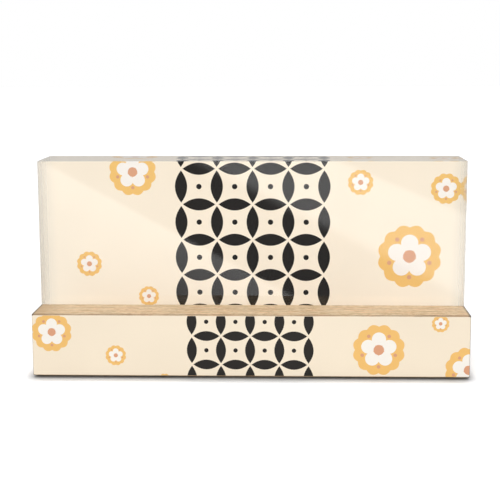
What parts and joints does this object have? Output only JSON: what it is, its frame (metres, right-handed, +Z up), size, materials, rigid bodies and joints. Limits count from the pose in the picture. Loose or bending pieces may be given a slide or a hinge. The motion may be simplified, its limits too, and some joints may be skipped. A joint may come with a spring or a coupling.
{
  "type": "table sign",
  "caption": "Long table sign: a thick clear block with a printed film on its back stands loose in the groove of a wooden base with a printed front, on round rubber pads.",
  "frame": {"origin": "on the table under the middle of the sign: bottom centre of the whole sign's box, at the underside of the pads", "axes": "+X along the sign, to the right as a reader faces the print; +Y to the back, away from the reader; +Z up"},
  "size_m": [0.2, 0.0754, 0.098],
  "materials": {
    "wood": "satin",
    "base_print": "satin",
    "clear_acrylic": "polished",
    "plaque_print": "satin",
    "rubber": "matte"
  },
  "bodies": {
    "base": {"wood_base": "wood", "base_print": "base_print", "pad_front_left": "rubber", "pad_front_right": "rubber", "pad_back_left": "rubber", "pad_back_right": "rubber"},
    "plaque": {"acrylic_plaque": "clear_acrylic", "plaque_print": "plaque_print"}
  },
  "joints": [
    {"name": "plaque_lift", "type": "slide", "parent": "base", "child": "plaque", "axis": [0, 0, 1], "range_m": [0, 0.03]}
  ]
}
